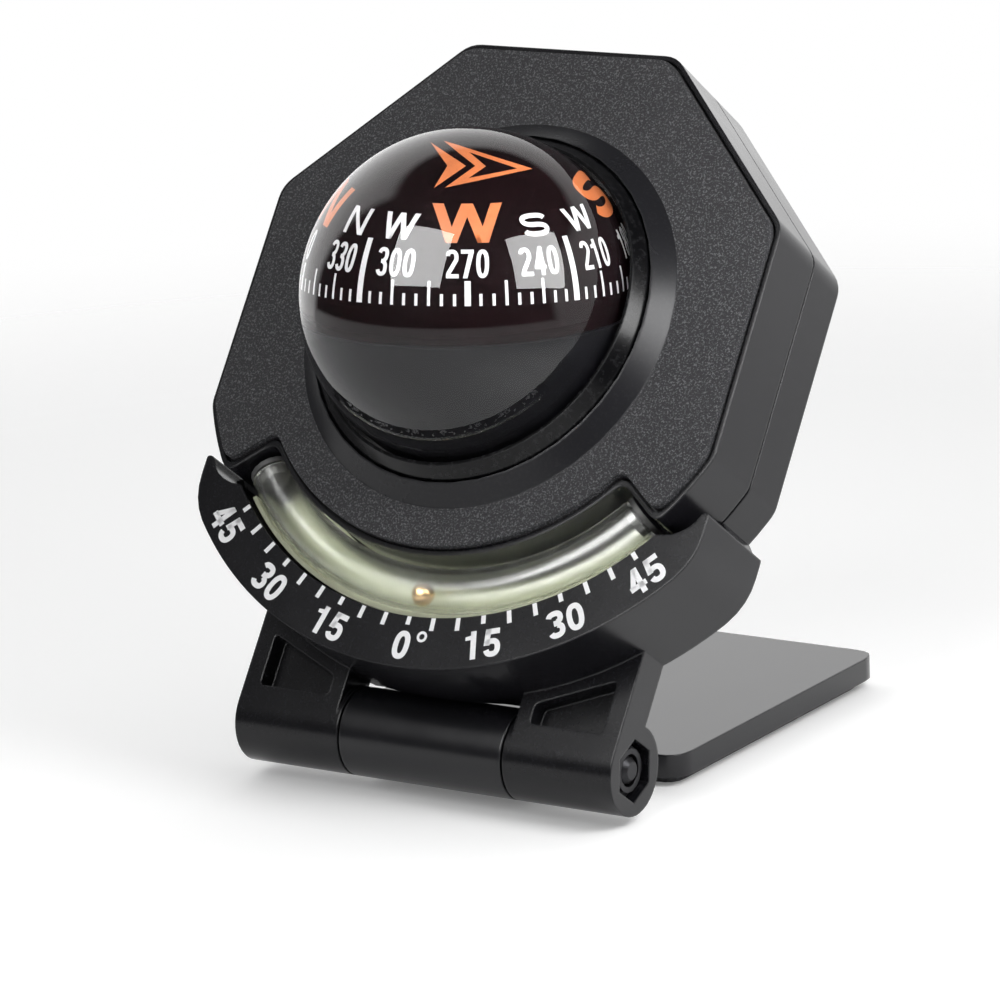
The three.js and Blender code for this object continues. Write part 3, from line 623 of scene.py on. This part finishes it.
STRIP_BACK, STRIP_FRONT, STRIP_WALL, STRIP_INNER, STRIP_OUTER = -8.9, -3.3, 0.45, 28.9, 34.65
STRIP_END, STRIP_STEPS = np.radians(47.5), 81
strip_section = [
    (STRIP_INNER, STRIP_BACK), (STRIP_OUTER, STRIP_BACK), (STRIP_OUTER, STRIP_FRONT),
    (STRIP_OUTER - STRIP_WALL, STRIP_FRONT), (STRIP_OUTER - STRIP_WALL, STRIP_BACK + STRIP_WALL),
    (STRIP_INNER, STRIP_BACK + STRIP_WALL),
]
glow_plastic, tree, shader = new_material("luminous plastic", Specular_IOR_Level=0.2)
place = object_place(tree)
cloud, powder = noise(tree, place, 420.0, 4.0, 0.6), noise(tree, place, 4200.0, 2.0)
feed(
    shader, Base_Color=blend(tree, cloud, (0.315, 0.33, 0.23, 1), (0.40, 0.415, 0.29, 1)),
    Roughness=span(tree, cloud, start=0.38, stop=0.62), Normal=relief(tree, powder, 0.3, 0.00002),
)
points, faces = along_arc(strip_section, STRIP_END, STRIP_STEPS)
glow_strip = mesh_piece("glow_strip", points, faces, glow_plastic)
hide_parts("luminous_strip")
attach(glow_strip, "head")

# ---------------------------------------------------------------------------
# Inclinometer tube: a clear tube bent to the scale's arc, with a stopper in each end.
# Light bends at its outer face and again at its bore, which makes the bright and dark lines along it.
# A faint haze in its plastic softens them.
# ---------------------------------------------------------------------------
TUBE_ARC, TUBE_RADIUS, TUBE_BORE, TUBE_DEPTH, TUBE_END = 31.4, 2.5, 1.9, 3.6, np.radians(49.2)
TUBE_STEPS, TUBE_SIDES = 97, 48


def clear_plastic(name, tint, index, clearest, haziest):
    """Clear plastic whose haze varies in patches between two roughnesses. Shadow rays pass through it.

    Returns the material, and the node that takes the shadow rays from its opacity.
    """
    material, tree, shader = new_material(name, Base_Color=tint, IOR=index, Transmission_Weight=1.0)
    shadow = add(tree, "LightPath").outputs["Is Shadow Ray"]
    opaque = add(tree, "Math", 1.0, shadow, operation="SUBTRACT", use_clamp=True)
    haze = noise(tree, object_place(tree), 160.0, 5.0, 0.65)
    feed(shader, Alpha=opaque.outputs[0], Roughness=span(tree, haze, 0.4, 0.7, clearest, haziest))
    return material, opaque


clear_tube, _ = clear_plastic("clear tube", (0.97, 0.98, 0.95, 1), 1.45, 0.19, 0.27)
# Tube: a ring section, out along the outer circle and back along the bore, at every angle of the arc
turn = np.linspace(0, 2 * np.pi, TUBE_SIDES, endpoint=False)[None, :]
angle = np.linspace(-TUBE_END, TUBE_END, TUBE_STEPS)[:, None]
walls = []
for radius in (TUBE_RADIUS, TUBE_BORE):
    across, up = arc_point(TUBE_ARC + radius * np.cos(turn), angle)
    walls.append(on_head(across, up, -TUBE_DEPTH + radius * np.sin(turn)).reshape(-1, 3))
sides = grid_faces(TUBE_STEPS, TUBE_SIDES, True)
count = TUBE_STEPS * TUBE_SIDES
lip = np.arange(TUBE_SIDES)
lip_next = (lip + 1) % TUBE_SIDES
first = np.stack([lip, lip + count, lip_next + count, lip_next], axis=1)
last = first[:, ::-1] + count - TUBE_SIDES
faces = np.concatenate([sides, sides[:, ::-1] + count, first, last])
glass_tube = mesh_piece("glass_tube", np.concatenate(walls), faces, clear_tube)
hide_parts("inclinometer_tube")
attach(glass_tube, "head")

# ---------------------------------------------------------------------------
# Tube plugs: grey soft plastic stoppers, pressed into both ends of the tube.
# Their matt skin has the faint bloom of moulded rubber.
# ---------------------------------------------------------------------------
plug_grey = moulded(
    "grey stopper",
    dict(
        Colour=(0.045, 0.045, 0.044, 1), Speck_Colour=(0.08, 0.08, 0.078, 1), Specks=0.6,
        Grain_Scale=1800.0, Grain_Height=0.00001, Roughness=0.6, Gloss_Spread=0.15,
        Edge_Radius=0.0002, Edge_Rub=0.3,
    ),
)
for name in ("tube_plug_right", "tube_plug_left"):
    finish_node(name, plug_grey)

# ---------------------------------------------------------------------------
# Rolling ball: a polished brass ball of 2.5 mm that lies in the lowest place of the tube.
# It is tumbled, so its skin is bright with fine dull spots.
# ---------------------------------------------------------------------------
ball_brass = turned_metal("tumbled brass", (0.80, 0.56, 0.30, 1), (0.62, 0.40, 0.20, 1), 0.22, 3000.0)
BALL_RADIUS, BALL_ARC, BALL_ROWS, BALL_SIDES = 1.25, 31.9, 25, 48
# Sphere: a latitude and a turn on a grid, its end rows closed to the two poles
latitude = np.linspace(-np.pi / 2, np.pi / 2, BALL_ROWS)[:, None]
turn = np.linspace(0, 2 * np.pi, BALL_SIDES, endpoint=False)[None, :]
across, up = arc_point(BALL_ARC, 0.0)
sphere = on_head(
    across + BALL_RADIUS * np.cos(latitude) * np.cos(turn),
    up + BALL_RADIUS * np.cos(latitude) * np.sin(turn),
    -TUBE_DEPTH + BALL_RADIUS * np.sin(latitude),
)
brass_ball = mesh_piece("brass_ball", sphere, grid_faces(BALL_ROWS, BALL_SIDES, True), ball_brass)
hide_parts("inclinometer_ball")
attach(brass_ball, "roller")

# ---------------------------------------------------------------------------
# Back of the ball, its gasket and its filler plug: the dark half that closes the liquid in from behind.
# They sit inside the housing and show only through the clear front.
# ---------------------------------------------------------------------------
collar_black = moulded(
    "polished black moulding",
    dict(
        Colour=(0.003, 0.003, 0.0035, 1), Speck_Colour=(0.03, 0.03, 0.032, 1), Specks=0.25,
        Grain_Scale=1300.0, Grain_Height=0.000003, Roughness=0.18, Gloss_Spread=0.16,
        Edge_Radius=0.00025, Edge_Rub=0.5,
    ),
    Specular_IOR_Level=0.2,
)
gasket_rubber = moulded(
    "gasket rubber",
    dict(
        Colour=(0.012, 0.012, 0.013, 1), Speck_Colour=(0.04, 0.04, 0.041, 1), Specks=0.5,
        Grain_Scale=2200.0, Grain_Height=0.00001, Roughness=0.75, Gloss_Spread=0.2,
        Edge_Radius=0.0002, Edge_Rub=0.2,
    ),
)
finish_node("ball_back", collar_black)
finish_node("ball_gasket", gasket_rubber)
finish_node("filler_plug", gasket_rubber)

# ---------------------------------------------------------------------------
# Bowl with its ballast and pivot: a smooth dark bowl that floats level, weighted at the bottom.
# The steel ballast and the brass post with its needle stand inside it, under the card.
# ---------------------------------------------------------------------------
# The ball's centre lies this far out from the rim's face
DOME_MIDDLE = 4.9
BALL_CENTRE = HEAD_CENTRE + DOME_MIDDLE * HEAD_AXES[2]


def revolved(profile, place, steps=96):
    """Surface of revolution: each radius and height of the profile turned about the height axis."""
    profile = np.asarray(profile, float)
    turn = np.linspace(0, 2 * np.pi, steps, endpoint=False)[None, :]
    radius, height = profile[:, :1], profile[:, 1:]
    points = place(radius * np.cos(turn), radius * np.sin(turn), height + 0 * turn)
    return points, grid_faces(len(profile), steps, True)


def sphere_profile(radius, low, high, steps):
    """Radius and height of a sphere's outline from one height to another, equally spaced in angle."""
    start, stop = np.arcsin(np.clip([low / radius, high / radius], -1, 1))
    angle = np.linspace(start, stop, steps)
    return np.stack([radius * np.cos(angle), radius * np.sin(angle)], axis=1)


def upright(across, along, up):
    """Points in metres from millimetres about the ball's centre, level with the floor."""
    return (BALL_CENTRE + np.stack([across, along, up], axis=-1)) * 0.001


BOWL_RADIUS, BOWL_WALL, BOWL_RIM = 17.1, 1.5, -1.6
bowl_profile = np.concatenate([
    sphere_profile(BOWL_RADIUS, -BOWL_RADIUS, BOWL_RIM, 40),
    sphere_profile(BOWL_RADIUS - BOWL_WALL, BOWL_RIM, BOWL_WALL - BOWL_RADIUS, 32),
])
bowl_grey = moulded(
    "smooth dark bowl",
    dict(
        Colour=(0.0055, 0.0055, 0.0068, 1), Speck_Colour=(0.010, 0.010, 0.012, 1), Specks=0.3,
        Grain_Scale=700.0, Grain_Height=0.000001, Roughness=0.5, Gloss_Spread=0.1,
        Edge_Radius=0.0002, Edge_Rub=0.2,
    ),
    Specular_IOR_Level=0.05,
)
points, faces = revolved(bowl_profile, upright)
dark_bowl = mesh_piece("dark_bowl", points, faces, bowl_grey)
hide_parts("level_bowl")
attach(dark_bowl, "level")
cast_grey = turned_metal("cast ballast", (0.30, 0.30, 0.31, 1), (0.18, 0.18, 0.19, 1), 0.55, 900.0)
finish_node("ballast_weight", cast_grey)
finish_node("pivot_post", ball_brass)

# ---------------------------------------------------------------------------
# Compass card: a domed black shell that turns on the needle, printed in white and orange.
# It carries 72 marks, twelve figures, the four main letters, the letters of the quarters and an arrow.
# ---------------------------------------------------------------------------
CARD_RADIUS, CARD_WALL, CARD_EDGE, WEB_LOW, JEWEL_HOLE, JEWEL_TOP = 15.1, 1.0, -3.2, -2.9, 1.7, 2.6
CARD_DIP, DIP_AZIMUTH, CARD_START = np.radians(5.7), np.radians(15.7), 32.33


def tipped(points):
    """Points of the card's own frame, turned by the card's dip about a level line at the dip's azimuth."""
    axis = np.array([np.cos(DIP_AZIMUTH), np.sin(DIP_AZIMUTH), 0.0])
    c, s = np.cos(-CARD_DIP), np.sin(-CARD_DIP)
    return points * c + np.cross(axis, points) * s + (points @ axis)[..., None] * axis * (1 - c)


def card_place(across, along, up):
    """Points in metres from millimetres in the card's own frame, whose height axis is its needle."""
    return (BALL_CENTRE + tipped(np.stack([across, along, up], axis=-1))) * 0.001


inner = CARD_RADIUS - CARD_WALL
card_profile = np.concatenate([
    sphere_profile(CARD_RADIUS, CARD_RADIUS, CARD_EDGE, 48),
    sphere_profile(inner, CARD_EDGE, WEB_LOW, 3),
    [[JEWEL_HOLE, WEB_LOW], [JEWEL_HOLE, JEWEL_TOP], [0.0, JEWEL_TOP]],
])
card_black = moulded(
    "card black",
    dict(
        Colour=(0.0050, 0.0012, 0.0018, 1), Speck_Colour=(0.010, 0.005, 0.006, 1), Specks=0.3,
        Grain_Scale=1500.0, Grain_Height=0.000002, Roughness=0.5, Gloss_Spread=0.1,
        Edge_Radius=0.0002, Edge_Rub=0.2,
    ),
    Specular_IOR_Level=0.03,
)
points, faces = revolved(card_profile, card_place, steps=128)
card_shell = mesh_piece("card_shell", points, faces, card_black)
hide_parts("compass_card")
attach(card_shell, "card")

card_ink = printing_ink("white card ink", (0.74, 0.74, 0.75, 1), (0.67, 0.67, 0.68, 1))
orange_ink = printing_ink("orange ink", (0.60, 0.172, 0.054, 1), (0.53, 0.152, 0.048, 1))


def on_card(turn, latitude, height):
    """Point of the card's sphere at a turn from the west mark and a latitude, in degrees."""
    l, p = np.radians(CARD_START + turn), np.radians(latitude)
    r = CARD_RADIUS + height
    return card_place(r * np.cos(p) * np.sin(l), -r * np.cos(p) * np.cos(l), r * np.sin(p))


def wrapped(patches, turn, latitude):
    """Patches in millimetres laid on the sphere: up is latitude, across a turn on the latitude's circle."""
    result = []
    for patch in patches:
        lat = latitude + np.degrees(patch[..., 1] / CARD_RADIUS)
        lon = turn + np.degrees(patch[..., 0] / (CARD_RADIUS * np.cos(np.radians(lat))))
        result.append(np.stack([lon, lat], axis=-1))
    return result


# Heading at turn 0, then latitudes and turns of the marks in degrees
WEST, MARK_FOOT, SHORT_TOP, LONG_TOP, QUARTER_TOP = 270, 3.5, 8.0, 12.9, 28.0
FINE_WIDE, MAIN_WIDE, QUARTER_WIDE = 1.2, 2.4, 2.7
# Height, width, stroke and gap of the figures, in millimetres, then the letters of the quarters
CARD_FIGURE, FIGURE_LATITUDE = (2.9, 1.27, 0.41, 0.24), 19.5
LETTER_LATITUDE, LETTER_HIGH, LETTER_WIDE, WIDE_W, LETTER_STROKE = 33.9, 2.9, 3.0, 3.8, 0.52

white_print, orange_print = [], []
for heading in range(0, 360, 5):
    turn = WEST - heading
    if heading % 90 == 45:
        top, wide = QUARTER_TOP, QUARTER_WIDE
    elif heading % 90 == 0:
        top, wide = LONG_TOP, MAIN_WIDE
    else:
        top, wide = (LONG_TOP if heading % 15 == 0 else SHORT_TOP), FINE_WIDE
    left, right = turn - wide / 2, turn + wide / 2
    corners = (left, MARK_FOOT), (right, MARK_FOOT), (right, top), (left, top)
    white_print.append(bar(*corners, rows=9, columns=3))
for heading in range(0, 360, 30):
    shift = 1.0 if heading == 330 else 0.0
    white_print += wrapped(line_of(str(heading), *CARD_FIGURE), WEST - heading + shift, FIGURE_LATITUDE)
# Letters of the quarters: the turn of each from its quarter mark, and their height
for first, second, heading, first_turn, second_turn, high in (
    ("N", "E", 45, -12.5, 13.0, LETTER_HIGH), ("S", "E", 135, -13.2, 13.2, LETTER_HIGH),
    ("S", "W", 225, -13.2, 13.2, 2.55), ("N", "W", 315, -12.5, 13.0, LETTER_HIGH),
):
    for sign, away in ((first, first_turn), (second, second_turn)):
        letter = line_of(sign, high, WIDE_W if sign == "W" else LETTER_WIDE, LETTER_STROKE, 0)
        white_print += wrapped(letter, WEST - heading + away, LETTER_LATITUDE)
# Main letters: heading, height, width, stroke, turn from the heading's mark and latitude
for letter, heading, high, wide, thick, shift, latitude in (
    ("N", 0, 4.4, 5.0, 1.15, 0.0, 36.0), ("E", 90, 4.4, 5.0, 1.15, 0.0, 36.0),
    ("S", 180, 5.0, 6.0, 1.15, -2.7, 39.6), ("W", 270, 4.4, 6.9, 1.02, 0.0, 36.0),
):
    orange_print += wrapped(line_of(letter, high, wide, thick, 0), WEST - heading + shift, latitude)

# Arrow over the card's crown, towards S: the two edges of each of its bars as five points, in millimetres
# along and across from the arrow's own middle
ARROW_TURN, ARROW_LATITUDE, ARROW_HEADING = 8.0, 65.0, 92.0
ARROW_HALVES = (
    (
        ((-2.96, 5.20), (-0.92, 3.06), (1.16, 1.77), (3.30, 1.06), (5.53, 0.88)),
        ((-0.68, 2.18), (0.46, 1.43), (1.62, 0.86), (2.80, 0.44), (4.01, 0.18)),
        ((-2.96, 5.20), (-2.27, 3.42), (-1.57, 1.99), (-0.85, 0.77), (-0.11, -0.29)),
        ((-0.68, 2.18), (-0.29, 1.50), (0.10, 0.86), (0.49, 0.28), (0.89, -0.27)),
        ((-4.20, 5.40), (-3.43, 3.52), (-2.65, 2.03), (-1.85, 0.79), (-1.04, -0.28)),
        ((-4.20, 5.40), (-3.87, 3.72), (-3.52, 2.32), (-3.16, 1.10), (-2.80, 0.00)),
    ),
    (
        ((-3.17, -3.19), (-1.00, -2.80), (1.16, -2.06), (3.32, -0.88), (5.53, 0.88)),
        ((-0.84, -2.15), (0.36, -1.78), (1.57, -1.28), (2.78, -0.64), (4.01, 0.18)),
        ((-3.17, -3.19), (-2.39, -2.57), (-1.63, -1.89), (-0.87, -1.14), (-0.11, -0.29)),
        ((-0.84, -2.15), (-0.41, -1.73), (0.03, -1.27), (0.46, -0.79), (0.89, -0.27)),
        ((-4.26, -2.97), (-3.44, -2.41), (-2.63, -1.78), (-1.83, -1.07), (-1.04, -0.28)),
        ((-4.26, -2.97), (-3.89, -2.29), (-3.52, -1.57), (-3.16, -0.81), (-2.80, 0.00)),
    ),
)


def between(first, second, rows=17, columns=4):
    """Patch between two curved edges: each edge a cubic fitted to five points, each point a mix of both."""
    share = np.linspace(0, 1, rows)
    edges = []
    for points in (np.array(first), np.array(second)):
        known = np.linspace(0, 1, len(points))
        curve = [np.polyval(np.polyfit(known, points[:, i], 3), share) for i in (0, 1)]
        edges.append(np.stack(curve, axis=1))
    mix = np.linspace(0, 1, columns)[None, :, None]
    return edges[0][:, None, :] * (1 - mix) + edges[1][:, None, :] * mix


def arrow_patches():
    """Both halves of the arrow: an open head with a three-sided hole, and a plain barb behind it."""
    return [between(*half[i:i + 2]) for half in ARROW_HALVES for i in (0, 2, 4)]


def on_crown(along, across, height):
    """Point reached from the arrow's middle by walking along and across the sphere's surface."""
    l, p = np.radians(CARD_START + ARROW_TURN), np.radians(ARROW_LATITUDE)
    middle = np.array([np.cos(p) * np.sin(l), -np.cos(p) * np.cos(l), np.sin(p)])
    south = np.radians(CARD_START + ARROW_HEADING)
    ahead = np.array([np.sin(south), -np.cos(south), 0.0])
    ahead -= middle * (ahead @ middle)
    ahead /= np.linalg.norm(ahead)
    side = np.cross(middle, ahead)
    walk = np.hypot(along, across)
    safe = np.maximum(walk, 1e-9)
    way = (along / safe)[..., None] * ahead + (across / safe)[..., None] * side
    arc = (walk / CARD_RADIUS)[..., None]
    point = (CARD_RADIUS + height) * (np.cos(arc) * middle + np.sin(arc) * way)
    return card_place(point[..., 0], point[..., 1], point[..., 2])


for piece in (
    ink("card_print_white", white_print, on_card, card_ink),
    ink("card_print_orange", orange_print, on_card, orange_ink),
    ink("card_print_arrow", arrow_patches(), on_crown, orange_ink),
):
    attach(piece, "card")

# ---------------------------------------------------------------------------
# Jewel cup and bar magnets: a red glass bearing in the hub and two magnets under the card.
# They are hidden by the card, and turn with it.
# ---------------------------------------------------------------------------
jewel, tree, shader = new_material(
    "bearing jewel", Base_Color=(0.5, 0.03, 0.05, 1), IOR=1.76, Transmission_Weight=0.6,
)
flaw = noise(tree, object_place(tree), 1800.0, 3.0)
feed(shader, Roughness=span(tree, flaw, start=0.02, stop=0.12))
finish_node("jewel_cup", jewel)
for name in ("card_magnet_front", "card_magnet_back"):
    finish_node(name, cast_grey)

# ---------------------------------------------------------------------------
# Clear ball: the polished front of the ball with a skirt and a flange, filled with damping liquid.
# Wall and liquid bend light alike, so its outer face works as one lens in front of the card.
# ---------------------------------------------------------------------------
DOME_RADIUS, DOME_BORE = 18.64, 17.4
FLANGE_RADIUS, FLANGE_TOP, FLANGE_LOW = 22.0, -1.1, -2.1
# Distances from the ball's centre, in metres, between which lies its wall's own middle
BORE_SIDE, OUTER_SIDE = 0.0178, 0.0180


def outside_ball(tree):
    """1 on the ball's outer faces and 0 on its bore, by the distance from the ball's centre."""
    centred = add(tree, "VectorMath", object_place(tree), BALL_CENTRE * 0.001, operation="DISTANCE")
    return span(tree, centred.outputs["Value"], BORE_SIDE, OUTER_SIDE)


# The bore is left fully clear, because the liquid behind it bends light as the wall does
clear_ball, opaque = clear_plastic("clear ball", (1, 1, 1, 1), 1.45, 0.0, 0.006)
feed(opaque, outside_ball(clear_ball.node_tree))
dome_profile = np.concatenate([
    sphere_profile(DOME_BORE, DOME_BORE, 0.0, 40) + [0, DOME_MIDDLE],
    [[DOME_BORE, FLANGE_LOW], [FLANGE_RADIUS, FLANGE_LOW]],
    [[FLANGE_RADIUS, FLANGE_TOP], [DOME_RADIUS, FLANGE_TOP]],
    sphere_profile(DOME_RADIUS, 0.0, DOME_RADIUS, 48) + [0, DOME_MIDDLE],
])
points, faces = revolved(dome_profile, on_head, steps=128)
ball_front = mesh_piece("ball_front", points, faces, clear_ball)
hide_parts("dome_front")
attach(ball_front, "head")

# ---------------------------------------------------------------------------
# Collar: a glossy black ring that holds the ball's flange down inside the bezel.
# It is turned to a shoulder and a thin lip, and small light specks lie all over its skin.
# ---------------------------------------------------------------------------
COLLAR_BORE, COLLAR_RADIUS, COLLAR_SHOULDER, COLLAR_TOP, COLLAR_LIP = 19.0, 20.4, 2.6, 4.2, 0.35
COLLAR_BASE, COLLAR_FOOT = -0.8, 0.2
round_share = np.linspace(0, 1, 9)[:, None]
shoulder = np.array([COLLAR_RADIUS, COLLAR_SHOULDER])
lip_edge = np.array([COLLAR_BORE + COLLAR_LIP, COLLAR_TOP])
collar_profile = np.concatenate([
    [[COLLAR_BORE, COLLAR_BASE], [FLANGE_RADIUS, COLLAR_BASE]],
    [[FLANGE_RADIUS, COLLAR_FOOT], [COLLAR_RADIUS, COLLAR_FOOT]],
    shoulder * (1 - round_share) + lip_edge * round_share,
    [[COLLAR_BORE, COLLAR_TOP], [COLLAR_BORE, COLLAR_BASE]],
])
points, faces = revolved(collar_profile, on_head, steps=128)
ball_collar = mesh_piece("ball_collar", points, faces, collar_black)
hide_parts("dome_collar")
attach(ball_collar, "head")

# ---------------------------------------------------------------------------
# Front shell: the satin black moulding with the low rim and the stepped lower edge.
# It is the same plastic as the back and closes on it along a fine gap.
# ---------------------------------------------------------------------------
finish_node("front_shell", housing_black)

# ---------------------------------------------------------------------------
# Face plate: one moulding of a grained plate, proud of the rim, and the smooth cone round the ball.
# The plate has a coarse spark-eroded grain that scatters light in fine specks, and the cone is satin.
# ---------------------------------------------------------------------------
CONE_RADIUS = 22.95
face_grain = moulded(
    "grained face",
    dict(
        Colour=(0.024, 0.024, 0.027, 1), Speck_Colour=(0.125, 0.125, 0.132, 1), Specks=1.0,
        Grain_Scale=4700.0, Grain_Height=0.00024, Roughness=0.8, Gloss_Spread=0.2,
        Edge_Radius=0.0003, Edge_Rub=0.3,
    ),
    Specular_IOR_Level=0.25,
)
tree = face_grain.node_tree
shader, grained = tree.nodes["Principled BSDF"], tree.nodes["skin"]
smooth = add(
    tree, "Group", node_tree=MOULDED_SKIN,
    Colour=(0.012, 0.012, 0.014, 1), Speck_Colour=(0.022, 0.022, 0.024, 1), Specks=0.3,
    Grain_Scale=2600.0, Grain_Height=0.000003, Roughness=0.26, Gloss_Spread=0.10,
    Edge_Radius=0.0003, Edge_Rub=0.3,
)
# Distance from the ball's line, in the dial's own plane, tells the grained plate from the smooth cone
level = add(
    tree, "Mapping", object_place(tree), vector_type="TEXTURE", Location=HEAD_CENTRE * 0.001,
    Rotation=(np.pi / 2 - HEAD_LEAN, 0, 0),
).outputs[0]
flat = add(tree, "VectorMath", level, (1, 1, 0), operation="MULTIPLY").outputs[0]
reach = add(tree, "VectorMath", flat, operation="LENGTH").outputs["Value"]
outside = combine(tree, "GREATER_THAN", reach, CONE_RADIUS * 0.001)
for kind, output, target in (
    ("RGBA", "Colour", "Base Color"), ("FLOAT", "Roughness", "Roughness"), ("VECTOR", "Normal", "Normal"),
):
    put(shader.inputs[target], blend(tree, outside, smooth.outputs[output], grained.outputs[output], kind))
finish_node("face_plate", face_grain)

# ---------------------------------------------------------------------------
# Housing screws: four dark cross-driven screws in the back that draw the two halves together.
# Their plating is the bolt's.
# ---------------------------------------------------------------------------
for number in range(1, 5):
    finish_node(f"housing_screw_{number}", dark_plating)
